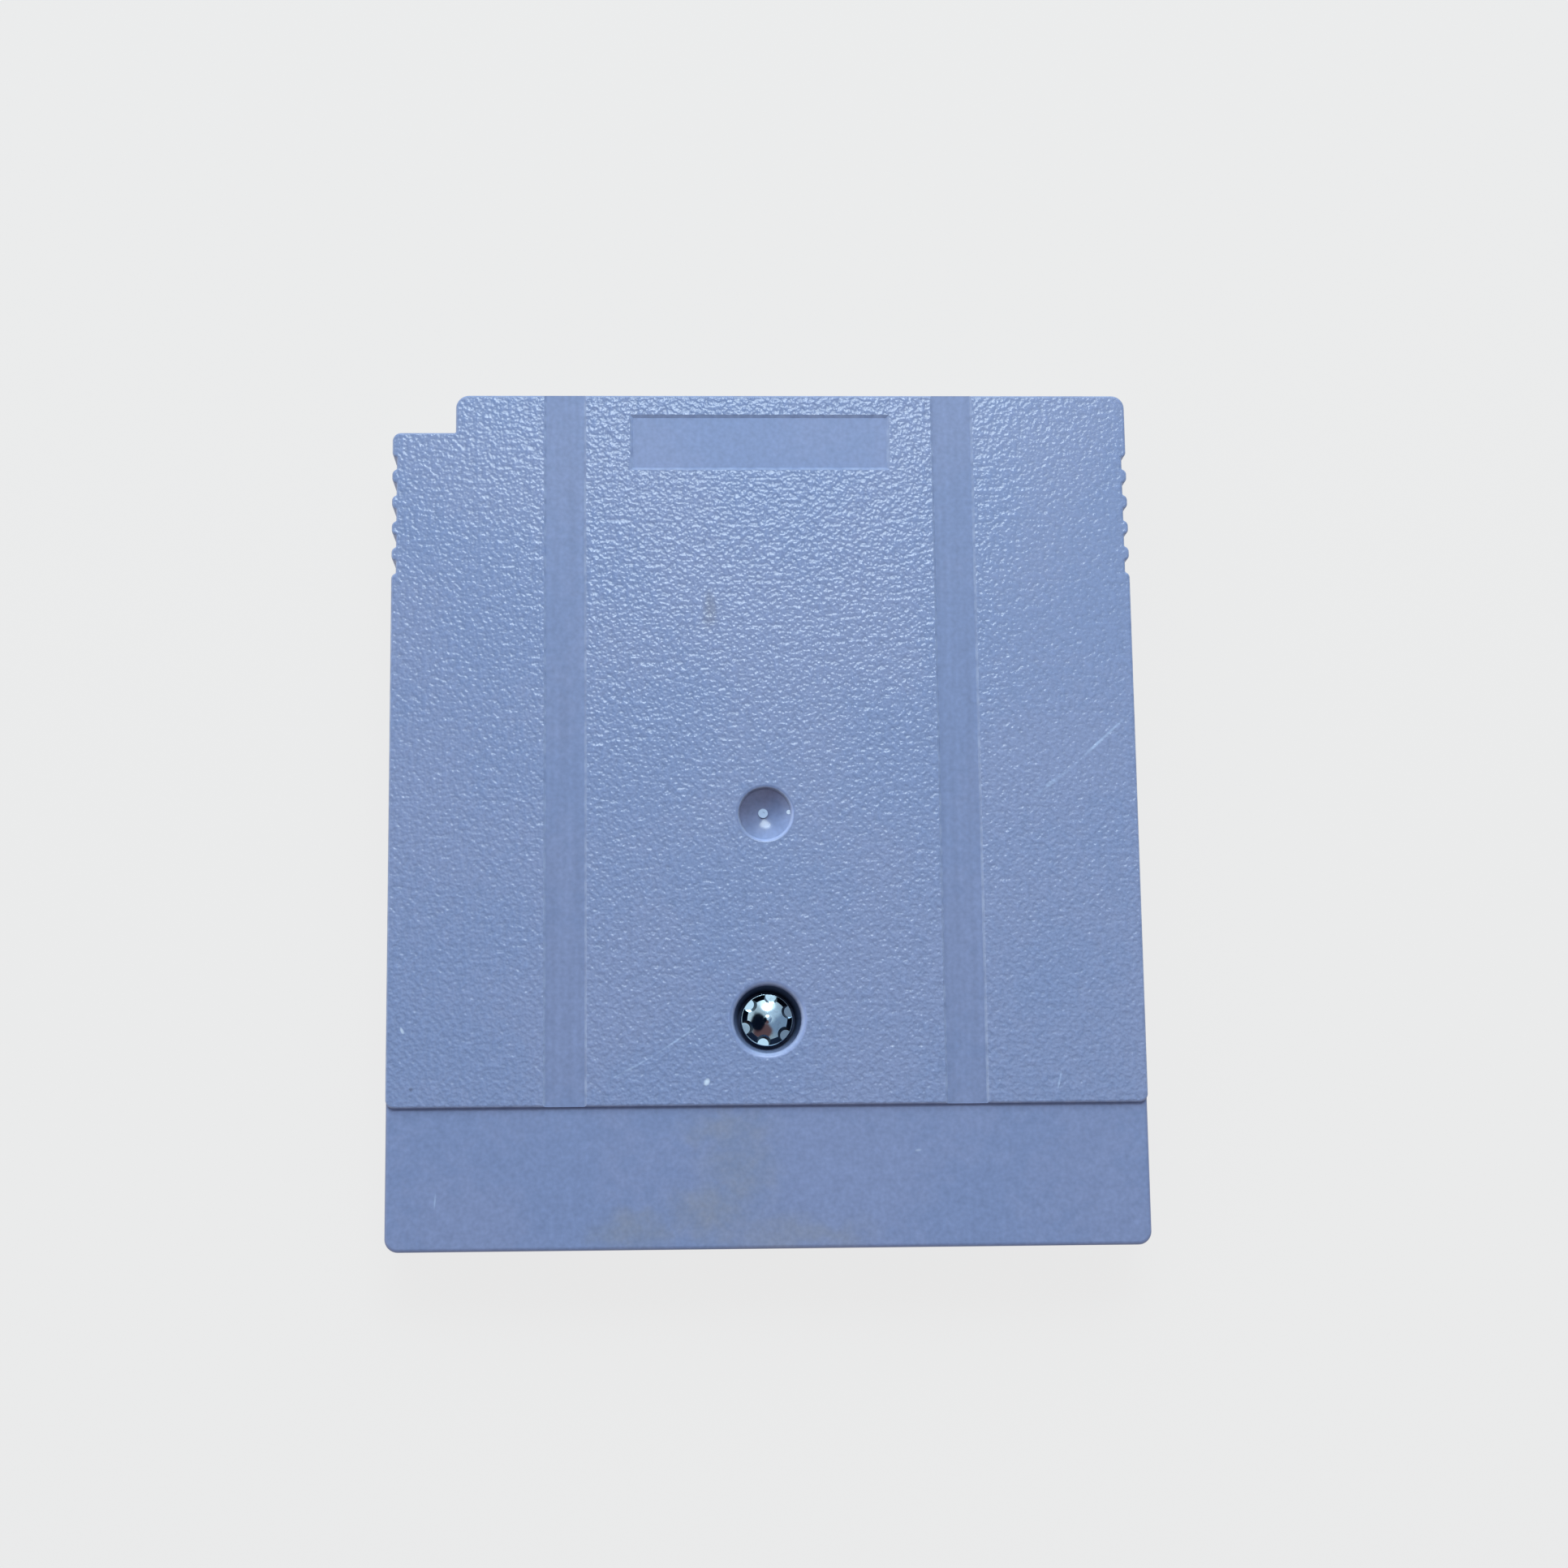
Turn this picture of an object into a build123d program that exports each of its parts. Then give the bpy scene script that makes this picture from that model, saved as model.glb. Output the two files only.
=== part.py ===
from build123d import *
import math
import os

# Game cartridge for a handheld console, lying on its label side with the
# screw side up.  Millimetres.  +Z points out of the rear (screw) face, +Y to
# the grip end, -Y to the connector end.  Origin: middle of the footprint, on
# the surface that the label side rests on.

os.makedirs("parts", exist_ok=True)

# ------------------------------------------------------------------ case
WIDTH = 57.0            # X
HEIGHT = 65.5           # Y
THICK = 7.8             # Z
NOTCH_W = 4.87          # keying notch at the grip end, seen from the rear: left
NOTCH_D = 3.0
CORNER_R = 1.0          # plan radius of the outer corners
NOTCH_R = 0.65          # plan radius below the notch
PART_Z = 3.6            # parting plane between the two shells
STEP_Y = -22.2          # lower edge of the raised rear panel
STEP_Z = 7.40           # rear face of the thin connector end
PANEL_R = 0.65          # plan radius of the raised panel's lower corners
RIM_R = 0.20            # rounding of the raised panel's rim
LOW_RIM_R = 0.30        # rounding of the connector end's rim
FRONT_RIM_R = 0.30      # rounding of the label face's rim
WALL = 1.8              # side walls
FRONT_WALL = 1.2        # label side
REAR_IN_Z = 6.35        # inner face of the rear wall
SLOT_IN_Z = 6.25        # inner face of the rear wall at the connector end
SLOT_HALF = 25.0        # half width of the connector slot
SLOT_TOP_Y = -20.9      # where the slot widens into the board space

GRIP_N = 5              # grip grooves on each side
GRIP_Y0 = 27.30         # middle of the topmost groove
GRIP_PITCH = 2.06
GRIP_HALF = 0.62        # half width at the mouth
GRIP_FLOOR = 0.46       # half width at the floor
GRIP_D = 0.34
GRIP_TIP_R = 0.42
GRIP_FOOT_R = 0.14

# ------------------------------------------------------- rear face details
STRIP_XS = (-15.18, 14.89)  # middles of the two shallow smooth strips
STRIP_W = 2.90          # width of a strip's floor
STRIP_WALL = 0.19       # width of its sloping side
STRIP_D = 0.14
BAR_X, BAR_W, BAR_Y0, BAR_Y1, BAR_D = -0.06, 19.95, 26.85, 31.08, 0.16
BAR_WALL = 0.24         # width of the bar's sloping side
DIMPLE_Y, DIMPLE_R, DIMPLE_WALL, DIMPLE_D = -0.2, 2.03, 0.30, 0.79
DIMPLE_SLOPE = 0.12     # how far the dimple's wall leans in
DIMPLE_LIP = 0.24       # width of the dimple's rounded lip
GATE_X, GATE_Y = -0.14, -0.10       # the gate is a little off the middle
GATE_R, GATE_H, GATE_TILT = 0.36, 0.10, 10.0
GATE_PIT_R, GATE_PIT = 0.12, 0.03
SCREW_Y = -15.77
BORE_R, BORE_FLOOR, BORE_LIP = 2.55, 5.6, 0.4
BORE_FOOT_R = 2.14      # the counterbore narrows to this at its floor

# ------------------------------------------------------------ screw
HEAD_R = 1.97
HEAD_SKIRT_Z = 6.50     # notch floors of the head
HEAD_TOP_Z = 7.42
CROWN_R, CROWN_DROP = 1.52, 0.338   # shallow dome on top of the head
FLANK_R = 1.90          # foot of the steep flank below the dome
PIP_BALL, PIP_H = 0.80, 0.05        # small pip in the middle of the dome
HEAD_NOTCH_R = 0.42     # at the notch's floor
HEAD_NOTCH_TOP_R = 0.95 # where its cone leaves the blank, 1.6 above the floor
HEAD_NOTCH_AT = 1.83
HEAD_NOTCH_A0 = 20.0    # degrees from +X
SHANK_R = 1.06          # core of the shank, inside its thread
SHANK_TIP_Z = 1.55
SHANK_CLEAR_R = 1.45    # clearance hole in the rear shell

# ------------------------------------------------- front (label) face details
PILL_Y, PILL_L, PILL_H, PILL_D = 23.18, 40.0, 9.2, 0.28
LABEL_Y, LABEL_W, LABEL_H, LABEL_R = -4.4, 42.8, 37.8, 1.6
LABEL_D, LABEL_T, LABEL_GAP = 0.25, 0.12, 0.25
ARROW_Y, ARROW_W, ARROW_H, ARROW_D = -27.9, 4.6, 3.1, 0.25
RIB_IN_X = 21.9         # inner end of the grip grooves on the label face
RIB_D = 0.32

# ------------------------------------------------------------ inside
BOARD_Z0, BOARD_T = 1.2, 0.8
BOARD_Z = BOARD_Z0 + BOARD_T
BOARD_HALF, BOARD_TOP, BOARD_SHOULDER = 26.2, 27.0, -19.6
TONGUE_HALF, BOARD_BOTTOM = 24.55, -31.4
PIN_X, PIN_Y, PIN_R = 23.2, 24.4, 0.95
BOSS_R, BOSS_TOP = 2.6, 4.95
PILOT_R, PILOT_Z = 1.30, 1.35
REAR_BOSS_R, REAR_BOSS_Z = 3.8, 5.0
HOOK_X, HOOK_HALF = 12.0, 3.0

CONTACT_N, CONTACT_PITCH, CONTACT_W = 32, 1.5, 1.02
CONTACT_Y0, CONTACT_Y1, CONTACT_T = -31.1, -23.6, 0.04

CELL_X, CELL_Y, CELL_R, CELL_H = 15.2, 12.0, 10.0, 2.5
TAB_T, TAB_W = 0.15, 3.0


# ------------------------------------------------------------------ helpers
def box(x0, x1, y0, y1, z0, z1):
    return Pos((x0 + x1) / 2, (y0 + y1) / 2, (z0 + z1) / 2) * Box(
        x1 - x0, y1 - y0, z1 - z0
    )


def cyl(x, y, r, z0, z1):
    return Pos(x, y, (z0 + z1) / 2) * Cylinder(r, z1 - z0)


def rounded(points):
    """Closed face from (x, y, radius) corners, each corner an arc."""
    n = len(points)
    ends = []
    for i in range(n):
        px, py, _ = points[i - 1]
        x, y, r = points[i]
        qx, qy, _ = points[(i + 1) % n]
        ax, ay, bx, by = px - x, py - y, qx - x, qy - y
        la, lb = math.hypot(ax, ay), math.hypot(bx, by)
        ax, ay, bx, by = ax / la, ay / la, bx / lb, by / lb
        if r <= 0:
            ends.append(((x, y), None, (x, y)))
            continue
        half = math.acos(max(-1.0, min(1.0, ax * bx + ay * by))) / 2
        run = r / math.tan(half)
        mx, my = ax + bx, ay + by
        lm = math.hypot(mx, my)
        reach = r / math.sin(half) - r
        ends.append(
            (
                (x + ax * run, y + ay * run),
                (x + mx / lm * reach, y + my / lm * reach),
                (x + bx * run, y + by * run),
            )
        )
    edges = []
    for i in range(n):
        start, mid, stop = ends[i]
        if mid is not None:
            edges.append(Edge.make_three_point_arc(start, mid, stop))
        nxt = ends[(i + 1) % n][0]
        if math.hypot(nxt[0] - stop[0], nxt[1] - stop[1]) > 1e-6:
            edges.append(Edge.make_line(stop, nxt))
    return Face(Wire(edges))


def prism(face, z0, z1):
    return extrude(Pos(0, 0, z0) * face, amount=z1 - z0, dir=(0, 0, 1))


def poly(points, z0, z1):
    return prism(rounded([(x, y, 0) for x, y in points]), z0, z1)


def edges_at(part, z):
    return part.edges().filter_by_position(Axis.Z, z - 1e-4, z + 1e-4)


def frustum(w0, h0, z0, w1, h1, z1):
    return loft([Pos(0, 0, z0) * Rectangle(w0, h0), Pos(0, 0, z1) * Rectangle(w1, h1)])


def spun(profile, x, y):
    """Solid of revolution about the vertical line through (x, y)."""
    return Pos(x, y, 0) * revolve(Plane.XZ * profile, Axis.Z, 360)


def plain_outline():
    """Plan of the case without its grip grooves."""
    hw, top = WIDTH / 2, HEIGHT / 2
    return rounded(
        [
            (-hw, -top, CORNER_R),
            (hw, -top, CORNER_R),
            (hw, top, CORNER_R),
            (-hw + NOTCH_W, top, CORNER_R),
            (-hw + NOTCH_W, top - NOTCH_D, 0.12),
            (-hw, top - NOTCH_D, NOTCH_R),
        ]
    )


def outline(low_y, low_r):
    """Plan of the case with its grip grooves, ending at low_y."""
    hw, top = WIDTH / 2, HEIGHT / 2
    pts = [(-hw, low_y, low_r), (hw, low_y, low_r)]
    centres = [GRIP_Y0 - GRIP_PITCH * i for i in range(GRIP_N)]
    for c in reversed(centres):
        pts += [
            (hw, c - GRIP_HALF, GRIP_TIP_R),
            (hw - GRIP_D, c - GRIP_FLOOR, GRIP_FOOT_R),
            (hw - GRIP_D, c + GRIP_FLOOR, GRIP_FOOT_R),
            (hw, c + GRIP_HALF, GRIP_TIP_R),
        ]
    pts += [
        (hw, top, CORNER_R),
        (-hw + NOTCH_W, top, CORNER_R),
        (-hw + NOTCH_W, top - NOTCH_D, 0.12),
        (-hw, top - NOTCH_D, NOTCH_R),
    ]
    for c in centres:
        pts += [
            (-hw, c + GRIP_HALF, GRIP_TIP_R),
            (-hw + GRIP_D, c + GRIP_FLOOR, GRIP_FOOT_R),
            (-hw + GRIP_D, c - GRIP_FLOOR, GRIP_FOOT_R),
            (-hw, c - GRIP_HALF, GRIP_TIP_R),
        ]
    return rounded(pts)


def inset(i, low_y, r=0.4):
    """Plan of the case moved in by i, without grooves."""
    hw, top = WIDTH / 2, HEIGHT / 2
    return rounded(
        [
            (-hw + i, low_y, 0),
            (hw - i, low_y, 0),
            (hw - i, top - i, r),
            (-hw + NOTCH_W + i, top - i, r),
            (-hw + NOTCH_W + i, top - NOTCH_D - i, r),
            (-hw + i, top - NOTCH_D - i, r),
        ]
    )


def groove_y():
    return [GRIP_Y0 - GRIP_PITCH * i for i in range(GRIP_N)]


LOW = -HEIGHT / 2
case_plan = outline(LOW, CORNER_R)
panel_plan = outline(STEP_Y, PANEL_R)


# ------------------------------------------------------------------ rear shell
def make_rear_shell():
    low = prism(case_plan, PART_Z, STEP_Z)
    low = fillet(edges_at(low, STEP_Z), LOW_RIM_R)
    low = chamfer(edges_at(low, PART_Z), 0.10)
    panel = prism(panel_plan, STEP_Z - 0.9, THICK)
    panel = fillet(edges_at(panel, THICK), RIM_R)
    body = low + panel

    # hollow for the board, and the connector slot below it
    body -= prism(inset(WALL, SLOT_TOP_Y), PART_Z - 1, REAR_IN_Z)
    body -= box(-SLOT_HALF, SLOT_HALF, LOW - 1, SLOT_TOP_Y + 0.2, PART_Z - 1, SLOT_IN_Z)
    # bevelled mouth of the slot
    body -= Pos(0, LOW, SLOT_IN_Z) * Rot(45, 0, 0) * Box(2 * SLOT_HALF, 0.6, 0.6)
    # rebate for the other shell's lip
    body -= prism(inset(0.9, SLOT_TOP_Y + 0.4), PART_Z - 1, PART_Z + 0.9)

    # screw boss, hooks at the grip end, ribs that hold the board down
    body += cyl(0, SCREW_Y, REAR_BOSS_R, REAR_BOSS_Z, REAR_IN_Z + 0.2)
    for s in (-1, 1):
        x0, x1 = s * HOOK_X - HOOK_HALF, s * HOOK_X + HOOK_HALF
        yin = HEIGHT / 2 - WALL
        body += box(x0, x1, yin - 1.2, yin + 0.3, PART_Z + 1.0, REAR_IN_Z + 0.2)
        body += box(x0, x1, yin - 1.2, yin - 0.1, 2.0, PART_Z + 1.2)
        hook = rounded([(yin - 0.2, 2.0, 0), (yin + 0.4, 2.3, 0.1), (yin + 0.4, 2.6, 0.05), (yin - 0.2, 2.6, 0)])
        body += extrude(
            Plane(origin=(x0 + 0.4, 0, 0), x_dir=(0, 1, 0), z_dir=(1, 0, 0)) * hook,
            amount=2 * HOOK_HALF - 0.8,
        )
        xw = s * (WIDTH / 2 - WALL)
        for y0 in (-14.0, -3.5, 15.0):
            xa, xb = sorted((xw - s * 1.7, xw + s * 0.2))
            body += box(xa, xb, y0, y0 + 5.0, PART_Z + 1.0, REAR_IN_Z + 0.2)
            xa, xb = sorted((xw - s * 1.7, xw - s * 0.12))
            body += box(xa, xb, y0, y0 + 5.0, BOARD_Z + 0.05, PART_Z + 1.2)
    # stiffening ribs across the rear wall, beside the screw
    for x in (-8.0, 8.0):
        body += box(x - 0.4, x + 0.4, -20.0, -17.0, REAR_IN_Z - 0.8, REAR_IN_Z + 0.2)

    # counterbore with a rounded lip, and the clearance hole
    bore = Face(
        Wire(
            [
                Edge.make_line((0, BORE_FLOOR), (BORE_FOOT_R, BORE_FLOOR)),
                Edge.make_line((BORE_FOOT_R, BORE_FLOOR), (BORE_R, THICK - BORE_LIP)),
                Edge.make_three_point_arc(
                    (BORE_R, THICK - BORE_LIP),
                    (
                        BORE_R + BORE_LIP * (1 - math.cos(math.pi / 4)),
                        THICK - BORE_LIP + BORE_LIP * math.sin(math.pi / 4),
                    ),
                    (BORE_R + BORE_LIP, THICK),
                ),
                Edge.make_line((BORE_R + BORE_LIP, THICK), (BORE_R + BORE_LIP, THICK + 1)),
                Edge.make_line((BORE_R + BORE_LIP, THICK + 1), (0, THICK + 1)),
                Edge.make_line((0, THICK + 1), (0, BORE_FLOOR)),
            ]
        )
    )
    body -= spun(bore, 0, SCREW_Y)
    body -= cyl(0, SCREW_Y, SHANK_CLEAR_R, REAR_BOSS_Z - 1, BORE_FLOOR + 0.5)

    # two shallow strips, open at both ends
    for mid in STRIP_XS:
        half = STRIP_W / 2
        out = half + STRIP_WALL * (STRIP_D + 0.10) / STRIP_D
        strip = rounded(
            [
                (mid - out, THICK + 0.10, 0),
                (mid - half, THICK - STRIP_D, 0),
                (mid + half, THICK - STRIP_D, 0),
                (mid + out, THICK + 0.10, 0),
            ]
        )
        body -= extrude(
            Plane(origin=(0, HEIGHT / 2 + 1, 0), x_dir=(1, 0, 0), z_dir=(0, -1, 0)) * strip,
            amount=HEIGHT / 2 + 1 - STEP_Y + 0.6,
        )
    # recessed bar at the grip end
    bar_h = BAR_Y1 - BAR_Y0
    over = BAR_WALL * (0.5 + 0.10 / BAR_D)
    body -= Pos(BAR_X, (BAR_Y0 + BAR_Y1) / 2, 0) * frustum(
        BAR_W - BAR_WALL,
        bar_h - BAR_WALL,
        THICK - BAR_D,
        BAR_W + 2 * over,
        bar_h + 2 * over,
        THICK + 0.10,
    )
    # finger dimple with the moulding gate mark in its middle
    z_wall = THICK - DIMPLE_WALL
    deep = DIMPLE_D - DIMPLE_WALL
    ra = DIMPLE_R - DIMPLE_SLOPE
    lip = DIMPLE_R + DIMPLE_LIP
    big = (ra * ra + deep * deep) / (2 * deep)
    half_a = math.asin(ra / big) / 2
    dish = Face(
        Wire(
            [
                Edge.make_three_point_arc(
                    (0, THICK - DIMPLE_D),
                    (
                        big * math.sin(half_a),
                        THICK - DIMPLE_D + big * (1 - math.cos(half_a)),
                    ),
                    (ra, z_wall),
                ),
                Edge.make_line((ra, z_wall), (DIMPLE_R, THICK - 0.09)),
                Edge.make_three_point_arc(
                    (DIMPLE_R, THICK - 0.09),
                    (DIMPLE_R + 0.36 * DIMPLE_LIP, THICK - 0.028),
                    (lip, THICK),
                ),
                Edge.make_line((lip, THICK), (lip, THICK + 1)),
                Edge.make_line((lip, THICK + 1), (0, THICK + 1)),
                Edge.make_line((0, THICK + 1), (0, THICK - DIMPLE_D)),
            ]
        )
    )
    body -= spun(dish, 0, DIMPLE_Y)
    # the gate was broken off a little askew
    gate_top = Pos(GATE_X, GATE_Y, THICK - DIMPLE_D + GATE_H) * Rot(-GATE_TILT, 0, 0)
    gate = cyl(GATE_X, GATE_Y, GATE_R, THICK - DIMPLE_D - 0.1, THICK)
    gate -= gate_top * Pos(0, 0, 1) * Box(4, 4, 2)
    gate -= gate_top * Cylinder(GATE_PIT_R, 2 * GATE_PIT)
    body += gate
    return body


# ------------------------------------------------------------------ front shell
def make_front_shell():
    body = prism(plain_outline(), 0, PART_Z)
    body = fillet(edges_at(body, 0), FRONT_RIM_R)
    body = body & prism(case_plan, -1, PART_Z)
    body = chamfer(edges_at(body, PART_Z), 0.10)

    body -= prism(inset(WALL, SLOT_TOP_Y), FRONT_WALL, PART_Z + 1)
    body -= box(-SLOT_HALF, SLOT_HALF, LOW - 1, SLOT_TOP_Y + 0.2, FRONT_WALL, PART_Z + 1)
    # lip that nests in the rear shell
    lip = prism(inset(1.0, SLOT_TOP_Y + 0.6), PART_Z - 0.2, PART_Z + 0.8)
    lip -= prism(inset(WALL, SLOT_TOP_Y), PART_Z - 1, PART_Z + 2)
    body += lip

    # pockets for the hooks
    for s in (-1, 1):
        x0, x1 = s * HOOK_X - HOOK_HALF, s * HOOK_X + HOOK_HALF
        yin = HEIGHT / 2 - WALL
        body -= box(x0 + 0.2, x1 - 0.2, yin - 0.3, yin + 0.55, 1.75, 2.75)
        # locating pins through the board
        pin = cyl(s * PIN_X, PIN_Y, PIN_R, FRONT_WALL - 0.2, BOARD_Z + 0.7)
        pin = chamfer(edges_at(pin, BOARD_Z + 0.7), 0.25)
        body += pin
    # screw boss with its pilot hole
    body += cyl(0, SCREW_Y, BOSS_R, FRONT_WALL - 0.2, BOSS_TOP)
    body -= cyl(0, SCREW_Y, PILOT_R, PILOT_Z, BOSS_TOP + 1)

    # label recess, bare panel, insertion arrow
    recess = RectangleRounded(LABEL_W, LABEL_H, LABEL_R)
    body -= prism(Pos(0, LABEL_Y) * recess, -1, LABEL_D)
    pill = SlotOverall(PILL_L, PILL_H)
    body -= prism(Pos(0, PILL_Y) * pill, -1, PILL_D)
    tri = rounded(
        [
            (0, ARROW_Y - ARROW_H / 2, 0.3),
            (ARROW_W / 2, ARROW_Y + ARROW_H / 2, 0.3),
            (-ARROW_W / 2, ARROW_Y + ARROW_H / 2, 0.3),
        ]
    )
    body -= prism(tri, -1, ARROW_D)
    # the grip grooves carry on across the label face
    for y in groove_y():
        for s in (-1, 1):
            cut = rounded(
                [
                    (y - GRIP_FLOOR - 0.20, -0.2, 0),
                    (y + GRIP_FLOOR + 0.20, -0.2, 0),
                    (y + GRIP_FLOOR - 0.08, RIB_D, 0),
                    (y - GRIP_FLOOR + 0.08, RIB_D, 0),
                ]
            )
            x0 = RIB_IN_X if s > 0 else -WIDTH / 2 - 1
            body -= extrude(
                Plane(origin=(x0, 0, 0), x_dir=(0, 1, 0), z_dir=(1, 0, 0)) * cut,
                amount=WIDTH / 2 + 1 - RIB_IN_X,
            )
    return body


# ------------------------------------------------------------------ screw
def make_screw():
    skirt = cyl(0, 0, HEAD_R, BORE_FLOOR, HEAD_SKIRT_Z)
    skirt = fillet(edges_at(skirt, HEAD_SKIRT_Z), 0.05)
    # shallow dome with a pip, on a steep flank
    crown_z = HEAD_TOP_Z - CROWN_DROP
    ball = (CROWN_R * CROWN_R + CROWN_DROP * CROWN_DROP) / (2 * CROWN_DROP)
    half_a = math.asin(CROWN_R / ball) / 2
    crown = Face(
        Wire(
            [
                Edge.make_line((0, HEAD_SKIRT_Z - 0.3), (FLANK_R, HEAD_SKIRT_Z - 0.3)),
                Edge.make_line((FLANK_R, HEAD_SKIRT_Z - 0.3), (FLANK_R, HEAD_SKIRT_Z + 0.03)),
                Edge.make_line((FLANK_R, HEAD_SKIRT_Z + 0.03), (CROWN_R, crown_z)),
                Edge.make_three_point_arc(
                    (CROWN_R, crown_z),
                    (
                        ball * math.sin(half_a),
                        HEAD_TOP_Z - ball * (1 - math.cos(half_a)),
                    ),
                    (0, HEAD_TOP_Z),
                ),
                Edge.make_line((0, HEAD_TOP_Z), (0, HEAD_SKIRT_Z - 0.3)),
            ]
        )
    )
    dome = spun(crown, 0, 0)
    dome = fillet(edges_at(dome, crown_z), 0.10)
    dome += Pos(0, 0, HEAD_TOP_Z + PIP_H - PIP_BALL) * Sphere(PIP_BALL)
    for k in range(6):
        a = math.radians(HEAD_NOTCH_A0 + 60 * k)
        dome -= Pos(
            HEAD_NOTCH_AT * math.cos(a), HEAD_NOTCH_AT * math.sin(a), HEAD_SKIRT_Z + 0.8
        ) * Cone(HEAD_NOTCH_R, HEAD_NOTCH_TOP_R, 1.6)
    shank = cyl(0, 0, SHANK_R, SHANK_TIP_Z, BORE_FLOOR + 0.2)
    shank = chamfer(edges_at(shank, SHANK_TIP_Z), 0.45)
    return Pos(0, SCREW_Y, 0) * (skirt + dome + shank)


# ------------------------------------------------------------------ board
def make_board():
    plan = rounded(
        [
            (-TONGUE_HALF, BOARD_BOTTOM, 0.8),
            (TONGUE_HALF, BOARD_BOTTOM, 0.8),
            (TONGUE_HALF, BOARD_SHOULDER, 0.5),
            (BOARD_HALF, BOARD_SHOULDER, 0.6),
            (BOARD_HALF, BOARD_TOP, 0.8),
            (-BOARD_HALF, BOARD_TOP, 0.8),
            (-BOARD_HALF, BOARD_SHOULDER, 0.6),
            (-TONGUE_HALF, BOARD_SHOULDER, 0.5),
        ]
    )
    board = prism(plan, BOARD_Z0, BOARD_Z)
    # bevelled insertion edge on the contact side
    board -= Pos(0, BOARD_BOTTOM, BOARD_Z) * Rot(45, 0, 0) * Box(60, 0.35, 0.35)
    board -= cyl(0, SCREW_Y, BOSS_R + 0.2, 0, 4)
    for s in (-1, 1):
        board -= cyl(s * PIN_X, PIN_Y, PIN_R + 0.1, 0, 4)
    return board


def make_contacts():
    pads = []
    for i in range(CONTACT_N):
        x = (i - (CONTACT_N - 1) / 2) * CONTACT_PITCH
        y0 = CONTACT_Y0 + (0.5 if 0 < i < CONTACT_N - 1 else 0.0)
        pad = RectangleRounded(CONTACT_W, CONTACT_Y1 - y0, 0.2)
        pads.append(
            prism(Pos(x, (CONTACT_Y1 + y0) / 2) * pad, BOARD_Z, BOARD_Z + CONTACT_T)
        )
    return Compound(children=pads)


# ------------------------------------------------------------------ packages
def package(w, l, h, span, pins, pitch, lead_w, gap=0.12, t=0.18, foot=0.75, chamfer_end=True):
    """Moulded package with gull-wing leads on its two long sides.

    w runs across the leads (X), l along the rows (Y); z starts on the board.
    """
    z0, z1 = BOARD_Z + gap, BOARD_Z + gap + h
    zm = (z0 + z1) / 2
    draft = 0.16
    body = frustum(w - draft, l - draft, z0, w, l, zm) + frustum(
        w, l, zm, w - draft, l - draft, z1
    )
    r = min(0.7, w * 0.12)
    body -= cyl(-w / 2 + draft + 1.5 * r, l / 2 - draft - 1.5 * r, r, z1 - 0.12, z1 + 1)
    if chamfer_end:
        body -= Pos(0, l / 2 + 0.05, z1) * Sphere(min(0.8, w * 0.12))
    leads = []
    per = pins // 2
    half, top = w / 2, zm + t / 2
    out = span / 2
    knee = half + (0.30 if out - half > 1.0 else 0.16)
    toe = out - foot
    for s in (-1, 1):
        side = rounded(
            [
                (s * (half + 0.012), zm - t / 2, 0),
                (s * (knee - 0.04), zm - t / 2, 0),
                (s * (toe - 0.06), BOARD_Z, 0),
                (s * out, BOARD_Z, 0),
                (s * out, BOARD_Z + t, 0),
                (s * (toe + 0.08), BOARD_Z + t, 0),
                (s * (knee + 0.12), top, 0),
                (s * (half + 0.012), top, 0),
            ]
        )
        for i in range(per):
            y = (i - (per - 1) / 2) * pitch
            leads.append(
                extrude(
                    Plane(origin=(0, y + lead_w / 2, 0), x_dir=(1, 0, 0), z_dir=(0, -1, 0))
                    * side,
                    amount=lead_w,
                )
            )
    return body, leads


def place(items, x, y, turn):
    return [Pos(x, y, 0) * Rot(0, 0, turn) * i for i in items]


# ------------------------------------------------------------------ cell
def make_cell():
    z0 = BOARD_Z + TAB_T
    z1 = z0 + CELL_H
    r, cap = CELL_R, CELL_R - 1.25
    profile = rounded(
        [
            (0, z0, 0),
            (cap, z0, 0.2),
            (cap, z0 + 0.38, 0.05),
            (r - 0.35, z0 + 0.38, 0.12),
            (r, z0 + 0.75, 0.25),
            (r, z1, 0.3),
            (0, z1, 0),
        ]
    )
    cell = spun(profile, CELL_X, CELL_Y)
    return cell


def make_tab_negative():
    x = CELL_X - 4.2
    strip = rounded(
        [
            (x - TAB_W / 2, CELL_Y - 4.0, 1.2),
            (x - TAB_W / 2, -0.7, 0.4),
            (x + TAB_W / 2, -0.7, 0.4),
            (x + TAB_W / 2, CELL_Y - 4.0, 1.2),
        ]
    )
    return prism(strip, BOARD_Z, BOARD_Z + TAB_T)


def make_tab_positive():
    x = CELL_X + 4.2
    top = BOARD_Z + TAB_T + CELL_H
    strip = rounded(
        [
            (x - TAB_W / 2, CELL_Y - 2.0, 1.2),
            (x - TAB_W / 2, 1.3, 0),
            (x + TAB_W / 2, 1.3, 0),
            (x + TAB_W / 2, CELL_Y - 2.0, 1.2),
        ]
    )
    tab = prism(strip, top, top + TAB_T)
    tab += box(x - TAB_W / 2, x + TAB_W / 2, 1.15, 1.15 + TAB_T, BOARD_Z, top + TAB_T)
    tab += box(x - TAB_W / 2, x + TAB_W / 2, -0.7, 1.15 + TAB_T, BOARD_Z, BOARD_Z + TAB_T)
    return tab


def chip(x, y, turn, l, w, h):
    brick = Box(l, w, h)
    brick = fillet(brick.edges(), 0.08)
    return Pos(x, y, BOARD_Z + h / 2) * Rot(0, 0, turn) * brick


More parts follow.
